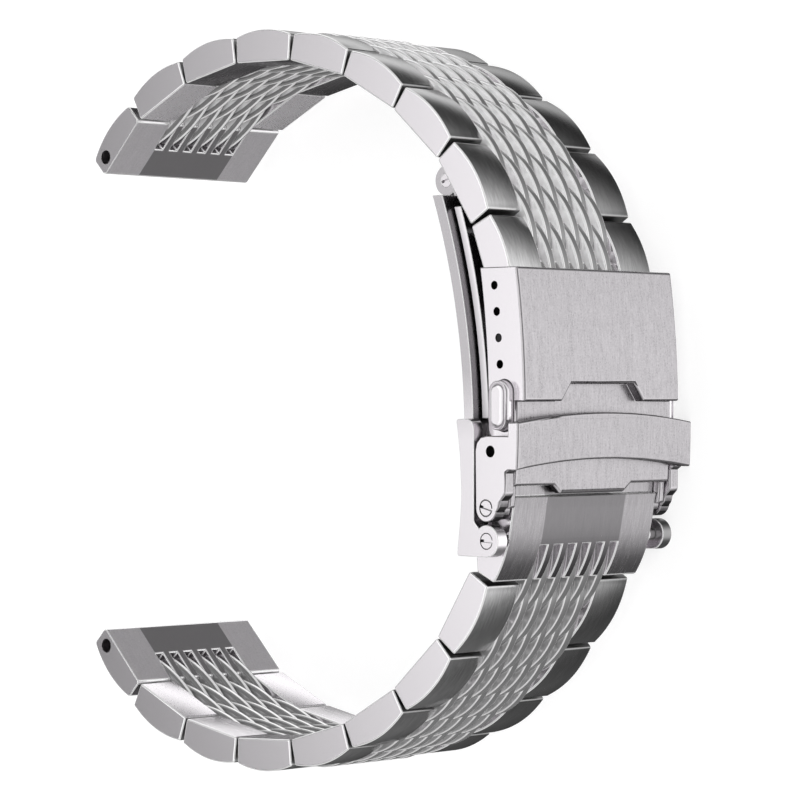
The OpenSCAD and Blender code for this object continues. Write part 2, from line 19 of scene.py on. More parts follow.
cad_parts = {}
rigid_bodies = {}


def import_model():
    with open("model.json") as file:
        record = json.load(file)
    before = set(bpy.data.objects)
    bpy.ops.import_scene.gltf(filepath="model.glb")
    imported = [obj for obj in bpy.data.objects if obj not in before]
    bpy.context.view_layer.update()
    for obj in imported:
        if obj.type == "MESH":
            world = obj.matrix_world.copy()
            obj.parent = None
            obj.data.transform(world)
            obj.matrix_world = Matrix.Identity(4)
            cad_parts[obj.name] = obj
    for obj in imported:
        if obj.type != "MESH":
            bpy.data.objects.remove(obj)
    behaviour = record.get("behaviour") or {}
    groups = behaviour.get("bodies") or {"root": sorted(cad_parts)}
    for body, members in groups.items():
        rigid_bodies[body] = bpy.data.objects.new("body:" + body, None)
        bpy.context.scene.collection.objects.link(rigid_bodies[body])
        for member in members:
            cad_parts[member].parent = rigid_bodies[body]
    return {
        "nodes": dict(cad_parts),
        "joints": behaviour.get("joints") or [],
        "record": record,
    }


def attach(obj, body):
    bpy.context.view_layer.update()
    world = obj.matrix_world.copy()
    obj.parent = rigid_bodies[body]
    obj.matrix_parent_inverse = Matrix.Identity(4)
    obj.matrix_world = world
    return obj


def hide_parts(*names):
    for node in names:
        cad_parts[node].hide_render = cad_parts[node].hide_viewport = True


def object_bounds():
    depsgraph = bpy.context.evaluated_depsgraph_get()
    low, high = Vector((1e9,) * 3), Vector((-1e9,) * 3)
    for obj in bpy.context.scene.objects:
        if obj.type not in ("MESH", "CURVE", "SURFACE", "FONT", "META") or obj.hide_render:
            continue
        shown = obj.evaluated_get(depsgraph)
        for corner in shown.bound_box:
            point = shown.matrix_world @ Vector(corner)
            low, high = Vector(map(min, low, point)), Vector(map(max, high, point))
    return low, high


MM = 0.001
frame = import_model()
cad_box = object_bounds()
middle_z = (cad_box[0].z + cad_box[1].z) / 2

# %% [markdown]
# ## Camera
#
# The photograph looks down on the lying bracelet at 45 degrees with a long lens, so the two
# straps hardly taper. The lens and the place come from fitting the strap's four edges.

# %% Camera
camera_data = bpy.data.cameras.new("camera")
camera_data.sensor_width = 36
camera_data.lens = 144.822
camera_data.clip_start = 0.01
camera = bpy.data.objects.new("camera", camera_data)
camera.location = Vector((250.5423, 0.9888, 262.7274)) * MM
camera.rotation_euler = [math.radians(a) for a in (-0.05289, 44.66876, 0.14626)]
bpy.context.scene.collection.objects.link(camera)
bpy.context.scene.camera = camera
print("camera", tuple(round(v, 4) for v in camera.location))

# %% [markdown]
# ## Shader maths
#
# A material's numbers run through nodes. Wrapping a socket in a small class lets ordinary
# Python expressions build those nodes: `1 - mask * 0.3` adds two Math nodes. All other
# nodes come from one method, which takes the node's type, its settings and its inputs.

# %% Numbers and nodes
class Num:
    """A number on its way through a node tree. Each operator on it adds one Math node."""

    def __init__(self, tree, socket):
        self.tree, self.socket = tree, socket

    def _math(self, operation, *values):
        node = self.tree.node(
            "ShaderNodeMath", {"operation": operation}, dict(enumerate(values))
        )
        return Num(self.tree, node.outputs[0])

    def __add__(self, other):
        return self._math("ADD", self, other)

    __radd__ = __add__

    def __sub__(self, other):
        return self._math("SUBTRACT", self, other)

    def __rsub__(self, other):
        return self._math("SUBTRACT", other, self)

    def __mul__(self, other):
        return self._math("MULTIPLY", self, other)

    __rmul__ = __mul__

    def size(self):
        """The number without its sign."""
        return self._math("ABSOLUTE", self)

    def between(self, low, high):
        """0 at low and 1 at high, straight between them and clamped outside."""
        node = self.tree.node(
            "ShaderNodeMapRange", {"clamp": True}, {0: self, 1: low, 2: high}
        )
        return Num(self.tree, node.outputs[0])


class Nodes:
    """A node tree of a material or of the world."""

    def __init__(self, owner):
        owner.use_nodes = True
        self.tree = owner.node_tree
        self.tree.nodes.clear()

    def node(self, kind, settings=None, inputs=None):
        """Add a node of this type, give it its settings, and fill or link its sockets."""
        node = self.tree.nodes.new(kind)
        for name, value in (settings or {}).items():
            if name == "stops":
                ramp = node.color_ramp
                while len(ramp.elements) > 1:
                    ramp.elements.remove(ramp.elements[-1])
                for k, (place, grey) in enumerate(value):
                    stop = ramp.elements[0] if k == 0 else ramp.elements.new(place)
                    stop.position, stop.color = place, (*grey, 1)
            elif name == "interpolation":
                node.color_ramp.interpolation = value
            else:
                setattr(node, name, value)
        for name, value in (inputs or {}).items():
            if isinstance(value, Num):
                value = value.socket
            if isinstance(value, bpy.types.NodeSocket):
                self.tree.links.new(value, node.inputs[name])
            else:
                node.inputs[name].default_value = value
        return node


print("shader maths ready")

# %% [markdown]
# ## Brushed, polished and satin steel
#
# Brushing is done with a belt that runs along the strap, so its lines lie in the plane of
# the loop and only change across it. Noise read from Object coordinates, stretched a hundred
# times in that plane, gives such lines on every link, whichever way the link points.
# Polished steel has hardly any texture, and its look is what it mirrors. Satin side faces
# are blasted: an even, fine grain.
#
# The real bracelet is one steel all over. Its photograph shows very different greys, because
# each face mirrors another part of the studio. The simple way would be one finish for all
# and a studio like the real one. That studio isn't known, so part of its light is put into
# the finishes here: a bar has a dark crest and white flanks, and some faces that look at
# the wrist are lighter than others. This is closest to the photograph from its own side,
# and under another light one plain steel would be truer.

# %% Steel finishes
WARM, PLAIN = (1.012, 0.976, 1.012), (1.0, 0.995, 1.0)


def steel(
    name, grey, rough, streak=0.0, grain=0.03, centre=None, metal=1.0, light_lean=0.0, tint=WARM,
    rise=None,
):
    """A metal shader whose brightness, roughness and height follow streaks and grain.

    The streak noise is read at (x * 700, y * 700, z * 5200) per metre, so its lines are
    1.4 mm long and 0.2 mm wide, and broader bands lie under it at a third of its strength.
    The grain is plain noise of 0.2 mm. Each is centred on zero before it is added to the grey and
    to the roughness. centre is (half width in mm, share): inside that width the steel has that
    share of the grey, a painted reflection, and fainter streaks. The lean is painted light: how
    much brighter the steel is 8.5 mm above the strap's middle than in the middle. rise is (y from,
    y to, factor), painted light and shade: a change of grey along Y in mm. The specular tint under
    1 keeps brushed steel from going white where it is seen at a flat angle.
    """
    material = bpy.data.materials.new(name)
    nodes = Nodes(material)
    place = nodes.node("ShaderNodeTexCoord").outputs["Object"]
    dots = nodes.node("ShaderNodeTexNoise", {}, {"Vector": place, "Scale": 5200.0, "Detail": 2})
    height = (Num(nodes, dots.outputs[0]) - 0.5) * grain
    if streak:
        fine = nodes.node("ShaderNodeMapping", {}, {0: place, "Scale": (700, 700, 5200)})
        lines = nodes.node(
            "ShaderNodeTexNoise", {}, {"Vector": fine.outputs[0], "Scale": 1.0, "Detail": 3}
        )
        wide = nodes.node("ShaderNodeMapping", {}, {0: place, "Scale": (90, 90, 1500)})
        bands = nodes.node(
            "ShaderNodeTexNoise", {}, {"Vector": wide.outputs[0], "Scale": 1.0, "Detail": 2}
        )
        height = height + (Num(nodes, lines.outputs[0]) - 0.5) * streak
        height = height + (Num(nodes, bands.outputs[0]) - 0.5) * (streak * 0.35)
    tone = height * 1.8 + 1
    across = Num(nodes, nodes.node("ShaderNodeSeparateXYZ", {}, {0: place}).outputs[2]) - middle_z
    # Painted reflection: the smooth middle field is made darker; its fainter streaks are its
    # finish.
    if centre:
        side = across.size().between(centre[0] * MM, (centre[0] + 0.08) * MM)
        height = height * (side * 0.6 + 0.4)
        tone = (height * 1.8 + 1) * (side * (1 - centre[1]) + centre[1])
    # Painted light: brighter above the strap's middle and darker below it.
    if light_lean:
        tone = tone * (across * (light_lean / (8.5 * MM)) + 1)
    # Painted light and shade: the grey changes along Y.
    if rise:
        up = Num(nodes, nodes.node("ShaderNodeSeparateXYZ", {}, {0: place}).outputs[1])
        tone = tone * (up.between(rise[0] * MM, rise[1] * MM) * (rise[2] - 1) + 1)
    colour = nodes.node(
        "ShaderNodeMix",
        {"data_type": "RGBA", "clamp_factor": False},
        {0: tone, 6: (0, 0, 0, 1), 7: (*[grey * t for t in tint], 1)},
    )
    bump = nodes.node(
        "ShaderNodeBump", {}, {"Strength": 0.2, "Distance": 0.00002, "Height": height}
    )
    shader = nodes.node(
        "ShaderNodeBsdfPrincipled",
        {},
        {
            "Base Color": colour.outputs[2],
            "Metallic": metal,
            "Roughness": height * 0.4 + rough,
            "Specular Tint": (0.55, 0.55, 0.55, 1) if metal == 1 else (1, 1, 1, 1),
            "Normal": bump.outputs[0],
        },
    )
    nodes.node("ShaderNodeOutputMaterial", {}, {0: shader.outputs[0]})
    return material


# Painted light: brushed steel is brighter above the strap's middle and darker below it.
brushed = steel("brushed_steel", 0.46, 0.22, streak=0.24, light_lean=0.28, tint=PLAIN)
# Painted shade: a darker steel for block ends in the gaps between links, the blade knuckles below
# the strap's middle and the walls round the screw heads.
painted_shade_steel = steel("link_end_shade_steel", 0.3, 0.3, streak=0.1, tint=PLAIN)
# Painted light on the wrist faces: one shaded grey and two lit copies of it.
wrist_shaded = steel("wrist_side_shaded_steel", 0.38, 0.26, streak=0.2, grain=0.14)
wrist_half_lit = steel("wrist_side_half_lit_steel", 0.62, 0.26, streak=0.2, grain=0.14, metal=0.8)
wrist_brightly_lit = steel("wrist_side_brightly_lit_steel", 0.87, 0.28, streak=0.1, grain=0.14, metal=0.8)
cover_brushed = steel("cover_steel", 0.42, 0.30, streak=0.3, grain=0.32)
lock_brushed = steel("lock_steel", 0.41, 0.30, streak=0.3, grain=0.32)
# Painted highlight: the clasp's rounded edges are lighter than its faces.
lit_soft_edge = steel("clasp_lit_edge_steel", 0.55, 0.24, streak=0.1)
# Painted shade under the clasp's steps.
step_shade = steel("step_shade_steel", 0.08, 0.4, streak=0.2)
# Painted shade: the blades' backs are darker, as inside the closed clasp.
shaded_blade_back = steel("shaded_blade_back_steel", 0.3, 0.28, streak=0.3, grain=0.12)
# Painted reflection on the bars: a dark crest, bright flanks that are whiter on the upper strap,
# and a near-white wrist side.
shaded_crest = steel("bar_shaded_crest_steel", 0.27, 0.24, grain=0.1, metal=0.5, tint=PLAIN)
lit_flank = steel("bar_lit_flank_steel", 0.66, 0.12, metal=0.6, tint=PLAIN)
bright_lit_flank = steel("bar_bright_lit_flank_steel", 0.99, 0.14, metal=0.25, tint=PLAIN)
lit_bar_wrist = steel("bar_wrist_lit_steel", 0.98, 0.25, metal=0.2, tint=PLAIN)
polished = steel("polished_steel", 0.8, 0.1)
# Painted glint: the narrow rounds are partly diffuse white, so they stay bright under any light.
edge_glint = steel("glint_edge_steel", 0.95, 0.16, metal=0.6, tint=PLAIN)
satin = steel("satin_steel", 0.90, 0.22, grain=0.05)
# Painted shade: the inner blade's sides grow darker towards +Y.
blade_side_shading = steel("blade_side_shading_steel", 0.92, 0.24, grain=0.05, rise=(-4.0, 3.0, 0.66))
button_satin = steel("button_steel", 0.86, 0.2, metal=0.85)
# Painted light: the folded blade's sides are near white and partly diffuse.
lit_blade_side = steel("folded_blade_side_lit_steel", 0.97, 0.25, metal=0.2)
# End links: the darker middle is painted reflection and the wrist face painted light.
end_steel = steel("end_link_steel", 0.36, 0.26, streak=0.3, grain=0.08, centre=(6.0, 0.6))
end_wrist_lit = steel(
    "end_wrist_lit_steel", 0.86, 0.32, streak=0.1, grain=0.16, centre=(6.0, 0.4), metal=0.75
)
# Painted shade: holes and the spring bar that sits in them are near black.
hole_shade = steel("hole_shade_steel", 0.04, 0.4, grain=0.1)
print("finishes", len(bpy.data.materials))

# %% [markdown]
# ## Slabs with broken edges
#
# A block or a bar is a flat outline with a thickness, and what makes it read as steel is its edge,
# a narrow round whose finish carries a painted glint. The outline is walked with one parameter and
# the thickness with the other, and near both faces the outline shrinks along a quarter circle. One
# more ring just inside keeps the flat face's shading flat.

# %% Outlines and slabs
def inward(outline):
    """Unit vectors that point into a closed counter-clockwise outline at each point.

    At point i the tangent is the difference of its neighbours, and the vector is that
    tangent turned left by a right angle.
    """
    tangent = np.roll(outline, -1, 0) - np.roll(outline, 1, 0)
    normal = np.stack([-tangent[:, 1], tangent[:, 0]], 1)
    return normal / np.linalg.norm(normal, axis=1, keepdims=True)


def rounded(corners, radii, steps=4):
    """A polygon with a circular arc at each corner, counter-clockwise.

    The arc of radius r touches both sides at r / tan(half the corner's angle), and its
    points turn evenly from one side's normal to the next one's.
    """
    points = []
    count = len(corners)
    for i in range(count):
        here, before, after = (np.array(corners[k % count], float) for k in (i, i - 1, i + 1))
        a, b = before - here, after - here
        a, b = a / np.linalg.norm(a), b / np.linalg.norm(b)
        half = math.acos(np.clip(a @ b, -1, 1)) / 2
        if radii[i] <= 0 or half > 1.55:
            points.append(here[None])
            continue
        reach = radii[i] / math.tan(half)
        centre = here + (a + b) / np.linalg.norm(a + b) * radii[i] / math.sin(half)
        start, end = here + a * reach - centre, here + b * reach - centre
        t0 = math.atan2(start[1], start[0])
        turn = (math.atan2(end[1], end[0]) - t0 + math.pi) % (2 * math.pi) - math.pi
        t = t0 + turn * np.linspace(0, 1, steps + 1)
        points.append(centre + radii[i] * np.stack([np.cos(t), np.sin(t)], 1))
    return np.concatenate(points)


def slab(outline, bottom, top, edge, mats, steps=3):
    """A closed solid: the outline from bottom to top with a round edge at both.

    For t from 0 to a right angle the outline is moved in by edge * (1 - sin t) at the
    height edge * (1 - cos t) from the face. edge is one number or one per point. mats is
    (face, round, rim), and each of the three is one material or a list with one material
    per side of the outline.
    """
    count = len(outline)
    into = inward(outline)
    t = np.linspace(0, math.pi / 2, steps + 1)
    inset = np.outer(np.concatenate([[1.12], 1 - np.sin(t)]), np.broadcast_to(edge, count))
    rise = np.outer(np.concatenate([[0], 1 - np.cos(t)]), np.broadcast_to(edge, count))
    inset = np.concatenate([inset, inset[::-1]])
    height = np.concatenate([bottom + rise, top - rise[::-1]])
    rings = outline[None] + into[None] * inset[:, :, None]
    rows = len(inset)
    points = np.concatenate([rings, height[:, :, None]], 2).reshape(-1, 3)
    hub = outline.mean(0)
    points = np.concatenate([points, [[*hub, bottom], [*hub, top]]])
    i = np.arange(count)
    j = (i + 1) % count
    faces, kinds = [], []
    zone = [0] + [1] * steps + [2] + [1] * steps + [0]
    for r in range(rows - 1):
        a, b = r * count, (r + 1) * count
        faces += np.stack([a + i, a + j, b + j, b + i], 1).tolist()
        kinds += np.broadcast_to(mats[zone[r]], count).tolist()
    last = (rows - 1) * count
    faces += np.stack([j, i, np.full(count, rows * count)], 1).tolist()
    faces += np.stack([last + i, last + j, np.full(count, rows * count + 1)], 1).tolist()
    kinds += [mats[0]] * (2 * count)
    return points, faces, kinds


def rod(radius, bottom, top, at, mat, sides=16):
    """A short pin along Z: a regular outline of many sides, as a slab."""
    t = np.arange(sides) * 2 * math.pi / sides
    ring = np.stack([at[0] + radius * np.cos(t), at[1] + radius * np.sin(t)], 1)
    return slab(ring, bottom, top, radius * 0.12, (mat, mat, mat), steps=1)


def piece(name, parts, transform, materials, body, nodes):
    """One object from several slabs, put in its place by a 4 by 4 matrix, in metres."""
    points, faces, kinds = [], [], []
    base = 0
    flip = np.linalg.det(transform[:3, :3]) < 0
    for p, f, k in parts:
        points.append(p)
        faces += [[v + base for v in (face[::-1] if flip else face)] for face in f]
        kinds += k
        base += len(p)
    points = np.concatenate(points) @ transform[:3, :3].T * MM + transform[:3, 3] * MM
    mesh = bpy.data.meshes.new(name)
    mesh.from_pydata(points, [], faces)
    for m in materials:
        mesh.materials.append(m)
    mesh.polygons.foreach_set("material_index", kinds)
    mesh.polygons.foreach_set("use_smooth", [True] * len(faces))
    mesh.update()
    mesh.set_sharp_from_angle(angle=math.radians(32))
    made = bpy.data.objects.new(name, mesh)
    bpy.context.scene.collection.objects.link(made)
    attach(made, body)
    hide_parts(*nodes)
    return made


print("slabs ready")

# %% [markdown]
# ## Where each link lies
#
# Every link and bridge turns on two pins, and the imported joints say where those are. The
# line between a piece's two pins is its own X axis, the side away from the loop's middle is
# its Y axis, and Z runs across the strap. So no angle is written twice.

# %% Pins and places
pins = {}
for joint in frame["joints"]:
    if joint["type"] == "hinge":
        place = np.array(joint["pos_m"]) / MM
        pins.setdefault(joint["child"], {})["clasp"] = place
        pins.setdefault(joint["parent"], {})["lug"] = place


def strap_place(body):
    """The matrix, in millimetres, from a piece's own axes to the frame at rest."""
    a, b = pins[body]["clasp"], pins[body]["lug"]
    centre = (a + b) / 2
    along = (b - a) / np.linalg.norm(b - a)
    out = np.array([along[1], -along[0], 0])
    if out @ centre < 0:
        out = -out
    m = np.eye(4)
    m[:3, 0], m[:3, 1], m[:3, 2], m[:3, 3] = along, out, (0, 0, 1), centre
    m[2, 3] = middle_z / MM
    return m


pitch = 2 * np.linalg.norm(
    pins["upper_link_5"]["lug"] - pins["upper_link_5"]["clasp"]
)
print("pitch", round(float(pitch), 3), "mm")

# %% [markdown]
# ## Side blocks and centre bars
#
# A side block is 8.3 mm long and 2.9 mm thick with a crowned outer face. Between the two blocks of
# a link lie five slim bars with arched tops, and the bridge to the next link has six more in the
# gaps. All their tops are arcs, and each bar is painted with a grey crest between two white
# flanks, the reflection a broad light would give them, which is the criss-cross look of this
# bracelet. They could be boxes with a Bevel modifier, but then every bar would end square. An
# outline worked out with numpy gives the round ends and the crown at once.

# %% Block and bar outlines
half, side_w, bars = 11.0, 5.0, 11
bar_gap = 0.06
column = (2 * half - 2 * side_w) / bars
pin_low = -1.45


def block_outline():
    """Flat wrist side, slanted ends, and a crown whose rise is 0.65 * (1 - (x / a)^2)."""
    a, b, high, crown = 4.15, 4.27, 1.45, 0.65
    x = np.linspace(b - 0.3, 0.3 - b, 21)
    top = np.stack([x, high + crown * (1 - (x / (b - 0.25)) ** 2)], 1)
    left = rounded([(-a, high), (-a, pin_low), (a, pin_low)], (0, 0.25, 0))[1:-1]
    right = rounded([(-a, pin_low), (a, pin_low), (a, high)], (0, 0.25, 0))[1:-1]
    t = np.linspace(0, math.pi / 2, 5)[:-1]
    round_right = np.stack([b - 0.25 + 0.25 * np.cos(t), high - 0.22 + 0.22 * np.sin(t)], 1)
    round_left = np.stack([-round_right[::-1, 0], round_right[::-1, 1]], 1)
    return np.concatenate([right, round_right, top, round_left, left])


def bar_outline(nose=False):
    """The arched bar: for each x the lower of its crown and its end circle, and below
    them the higher of its underside and the same circle mirrored."""
    end = (8.58 - pitch / 2) / 2
    s = np.linspace(0, math.pi, 41)
    x = np.cos(s) * (pitch / 4 + end)
    circle = np.sqrt(np.clip(end**2 - np.clip(np.abs(x) - pitch / 4, 0, None) ** 2, 0, None))
    circle = np.where(np.abs(x) < pitch / 4, 9, circle)
    crown = 2.15 - 8.3 + np.sqrt(8.3**2 - x**2)
    under = 17 + pin_low - np.sqrt(17**2 - x**2)
    if nose:
        keep = x > -pitch / 4
        t = np.linspace(math.pi / 2, 1.5 * math.pi, 9)
        tip = np.stack([-pitch / 4 + 0.8 * np.cos(t), 0.8 * np.sin(t)], 1)
        top = np.stack([x, np.minimum(crown, circle)], 1)[keep]
        low = np.stack([x, np.maximum(under, -circle)], 1)[keep][::-1]
        return np.concatenate([top, tip, low])
    top = np.stack([x, np.minimum(crown, circle)], 1)
    low = np.stack([x, np.maximum(under, -circle)], 1)[::-1]
    return np.concatenate([top, low[1:-1]])


block, bar, nose_bar = block_outline(), bar_outline(), bar_outline(nose=True)
print("outline points", len(block), len(bar), len(nose_bar))

# %% [markdown]
# ## The two straps
#
# Each link and bridge of the frame is replaced by one object: a link has two blocks, five
# bars and its two pins, a bridge has six bars. Every side of an outline gets its finish from
# the way it faces. The upper strap's bars have whiter flanks and wider rounds than the lower
# strap's, and three links have a lighter wrist face, only because the photograph's light
# falls so on them.

# %% Straps
def facing(outline, inner, outer, ends):
    """One material per side of the outline, by where the side's outward normal points."""
    out = -inward((outline + np.roll(outline, -1, 0)) / 2)
    up = out[:, 1]
    return np.where(up > 0.8, outer, np.where(up < -0.8, inner, ends)).tolist()


def bar_row(first, outline, edge):
    """Every second bar from one column, each as a slab with a narrow crest painted grey as a
    reflection.

    A side of the outline belongs to the crest where its normal points outwards, to the wrist side,
    painted light, where it points inwards, and to the round ends, painted bright like the flanks,
    where |x| is over 3.1 mm and it slopes by more than 33 degrees.
    """
    parts = []
    middle = (outline + np.roll(outline, -1, 0)) / 2
    out = -inward(middle)
    ends = (np.abs(middle[:, 0]) > 3.1) & (np.abs(out[:, 0]) > 0.54)
    wrist = (out[:, 1] < 0) & ~ends
    # Slot 7 is the wrist side's painted light, 4 the flanks' painted light, 1 the crest's painted
    # reflection.
    tops = np.where(wrist, 7, np.where(ends, 4, 1))
    rounds = np.where(wrist, 1, 2)
    edge = np.where(outline[:, 1] < -0.3, 0.32, edge)
    for c in range(first, bars - first, 2):
        z = (c - (bars - 1) / 2) * column
        w = (column - bar_gap) / 2
        parts.append(slab(outline, z - w, z + w, edge, (4, rounds, tops)))
    return parts


# Block ends take slot 6, painted shade in the gap between blocks, and the wrist side slot 5,
# painted wrist light on three links and painted shade on the others.
rim = facing(block, 5, 0, 6)
strap_materials = [brushed, shaded_crest, edge_glint, satin, lit_flank, wrist_shaded, painted_shade_steel, lit_bar_wrist]
# Painted light: these links' wrist faces are lit copies of the shaded wrist steel.
lit_wrist_faces = {"upper_link_2": wrist_brightly_lit, "lower_link_2": wrist_brightly_lit, "lower_link_3": wrist_half_lit}
for name in frame["nodes"]:
    upper = name.startswith("upper")
    chosen = list(strap_materials)
    chosen[4] = bright_lit_flank if upper else lit_flank
    chosen[5] = lit_wrist_faces.get(name, wrist_shaded)
    if "_bridge_" in name:
        row = bar_row(0, nose_bar if name == "upper_bridge_9" else bar, 0.2 if upper else 0.12)
        piece(name + "_bars", row, strap_place(name), chosen, name, [name])
    elif "_link_" in name and "clasp" not in name:
        parts = [
            slab(block, side, side + side_w, 0.17, (3, 2, rim)) for side in (-half, half - side_w)
        ]
        parts += bar_row(1, bar, 0.2 if upper else 0.12)
        parts += [rod(0.4, -6.1, 6.1, (x, 0), 1) for x in (-pitch / 4, pitch / 4)]
        piece(name + "_steel", parts, strap_place(name), chosen, name, [name])

# %% [markdown]
# ## Parts with many cuts
#
# The lug links, the cover, the lock and the blades have slots, holes and steps, and the exact
# solids already hold them. A merged copy of such a node gets a Bevel modifier, which breaks each
# sharp edge by a tenth of a millimetre or so, and the new narrow faces take a finish of their own,
# a painted highlight on all but the buttons. A weight on each edge tells the modifier how wide its
# round is, so that the rim of a small hole stays sharp and the cover's long edges are rounder.
# Faces that look along Z are satin, wrist faces take a painted lit grey on the end links and
# painted shade elsewhere, and the others are brushed, while holes, faces under a step and the
# blades' lower knuckles take painted shade.

# %% Dressing a CAD node
owner = {n: b for b, ns in frame["record"]["behaviour"]["bodies"].items() for n in ns}
# Faces whose normal y is under this, the faces under a step, take the low slot, which holds
# painted shade on the clasp, blades and screws.
shade_below_y = -0.6


def merged(node):
    """The node's triangles joined into a closed shell, with flat faces as one polygon each."""
    work = bmesh.new()
    work.from_mesh(frame["nodes"][node].data)
    bmesh.ops.remove_doubles(work, verts=work.verts, dist=1e-6)
    bmesh.ops.dissolve_limit(
        work, angle_limit=math.radians(0.05), verts=work.verts, edges=work.edges
    )
    return work


def on_hole(holes, verts):
    """True if all these points lie on one of the round holes (x, y, radius in mm)."""
    return any(
        all(abs(math.hypot(v.co.x / MM - x, v.co.y / MM - y) - r) < 0.04 for v in verts)
        for x, y, r in holes
    )


def dress(work, node, mats, width, outer=None, holes=(), far=None):
    """Give a merged copy its broken edges and finishes, and put it in the node's place.

    mats is (face, side, edge, wrist, hole, low). A side face has |z| over 0.95 in its unit normal,
    a wrist face looks at the loop's middle, a low face has a normal y under -0.6. On the clasp,
    blades and screws the hole and low slots hold painted shade, and on every bevelled piece but
    the buttons the edge slot holds a painted highlight.
    Every edge over 34 degrees gets a round of `width` mm, a round hole gets none, and
    outer is (width, test): a wider round on the convex edges of the faces that it picks.
    With far, faces further than that above the strap's middle are side faces too, and those
    further than that below it are low faces, so on the blades the upper knuckle takes the side
    slot's finish and the lower knuckle painted shade.
    """
    widest = outer[0] if outer else width
    work.normal_update()
    work.faces.index_update()
    weight = work.edges.layers.float.new("bevel_weight_edge")
    kinds = {}
    for f in work.faces:
        n, c = f.normal, f.calc_center_median()
        if on_hole(holes, f.verts):
            f.material_index = 4
        elif abs(n.z) > 0.95 or (far and c.z - middle_z > far * MM):
            f.material_index = 1
        elif far and middle_z - c.z > far * MM:
            f.material_index = 5
        elif n.x * c.x + n.y * c.y < 0:
            f.material_index = 3
        else:
            f.material_index = 5 if n.y < shade_below_y else 0
        kinds[f.index] = bool(outer) and outer[1](n, c / MM)
    for e in work.edges:
        if width and len(e.link_faces) == 2 and e.calc_face_angle() > math.radians(34):
            wide = e.is_convex and any(kinds[f.index] for f in e.link_faces)
            size = widest if wide else width
            e[weight] = 0 if on_hole(holes, e.verts) else size / widest
    mesh = bpy.data.meshes.new(node + "_steel")
    for m in mats:
        mesh.materials.append(m)
    work.to_mesh(mesh)
    work.free()
    stored = mesh.attributes.get("custom_normal")
    if stored:
        mesh.attributes.remove(stored)
    mesh.polygons.foreach_set("use_smooth", [True] * len(mesh.polygons))
    mesh.update()
    mesh.set_sharp_from_angle(angle=math.radians(28))
    made = bpy.data.objects.new(node + "_steel", mesh)
    bpy.context.scene.collection.objects.link(made)
    if width:
        bevel = made.modifiers.new("edges", "BEVEL")
        bevel.width = widest * MM
        bevel.segments = 4 if outer else 2
        bevel.limit_method = "WEIGHT"
        bevel.material = 2
        bevel.use_clamp_overlap = False
    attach(made, owner[node])
    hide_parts(node)
    return made


# %% [markdown]
# ## End links and blades
#
# The end links have a smooth field in the middle, where the bars' ends are let in, painted darker
# as a reflection, and a wrist face painted light. The last link before the clasp is crowned like
# the blocks, and its solid gives that crown in three straight facets. The copy is cut into narrow
# strips, and the cuts' points are moved onto a smooth curve through the facets' corners. The
# blades are folded from sheet and their flat backs are brushed. Their backs and lower knuckles are
# painted in shade, the folded blade's sides are painted bright as light, and the inner blade's
# sides are painted darker towards +Y as shade.

# %% Lug links, clasp links and blades
lock_screw, strap_screw, lock_window = (29.66, -10.73), (29.73, -14.05), (30.25, -5.03)
ends = (end_steel, satin, edge_glint, end_wrist_lit, satin, end_steel)
bores = {m["name"]: (*[v / MM for v in m["pos_m"][:2]], m["dims"]["r_mm"])
         for m in frame["record"]["mounts"]}
for node in ("upper_lug_link", "lower_lug_link", "upper_clasp_link"):
    dress(merged(node), node, ends, 0.14, holes=[b for n, b in bores.items() if node[:9] in n])

corner = np.array([(31.124, -10.774), (30.464, -14.074), (29.684, -16.254), (28.474, -18.274)])
curve = np.polyfit(corner[:, 1], corner[:, 0], 3)
work = merged("lower_clasp_link")
for y in np.linspace(-18, -11, 15):
    everything = work.verts[:] + work.edges[:] + work.faces[:]
    bmesh.ops.bisect_plane(work, geom=everything, plane_co=(0, y * MM, 0), plane_no=(0, 1, 0))
moved = 0
for v in work.verts:
    px, py = v.co.x / MM, v.co.y / MM
    facet = np.interp(-py, -corner[:, 1], corner[:, 0])
    if corner[-1, 1] < py < corner[0, 1] and abs(px - facet) < 0.02:
        v.co.x = np.polyval(curve, py) * MM
        moved += 1
print("crowned the last clasp link at", moved, "points")
dress(work, "lower_clasp_link", ends, 0.14)

# The blades' side slot holds their sides' painted grey, and the low slot the painted shade of the
# lower knuckle.
blades = (shaded_blade_back, lit_blade_side, edge_glint, wrist_shaded, hole_shade, painted_shade_steel)
dress(merged("outer_blade"), "outer_blade", blades, 0.08, far=11.0)
blades = (shaded_blade_back, blade_side_shading, edge_glint, wrist_shaded, hole_shade, painted_shade_steel)
dress(merged("inner_blade"), "inner_blade", blades, 0.08, far=11.0, holes=[(*strap_screw, 0.86)])

# %% [markdown]
# ## Cover, lock, buttons and screws
#
# The cover and the lock are brushed sheet with satin sides, and the edges of their outer faces are
# rounded two to three times as wide as the rest. Those rounds are painted lighter as a highlight,
# the faces under a step are painted dark as shade, and the holes are painted near black as shade.
# The buttons are smooth, with a cushion-shaped head. A screw's slot may stop anywhere when it is
# tightened, so both pairs are turned about their own axes to the angles that the photograph shows.

# %% Cover, lock, buttons and screws
def on_top(n, c):
    """True for a face of the clasp's outer side, by its normal and its middle in mm."""
    return n.x > 0.8 and c.x > 31


def on_head(n, c):
    """True for the flat end face of a push button, over 12.5 mm from the strap's middle."""
    return abs(n.z) > 0.95 and abs(c.z - 13.5) > 12.5


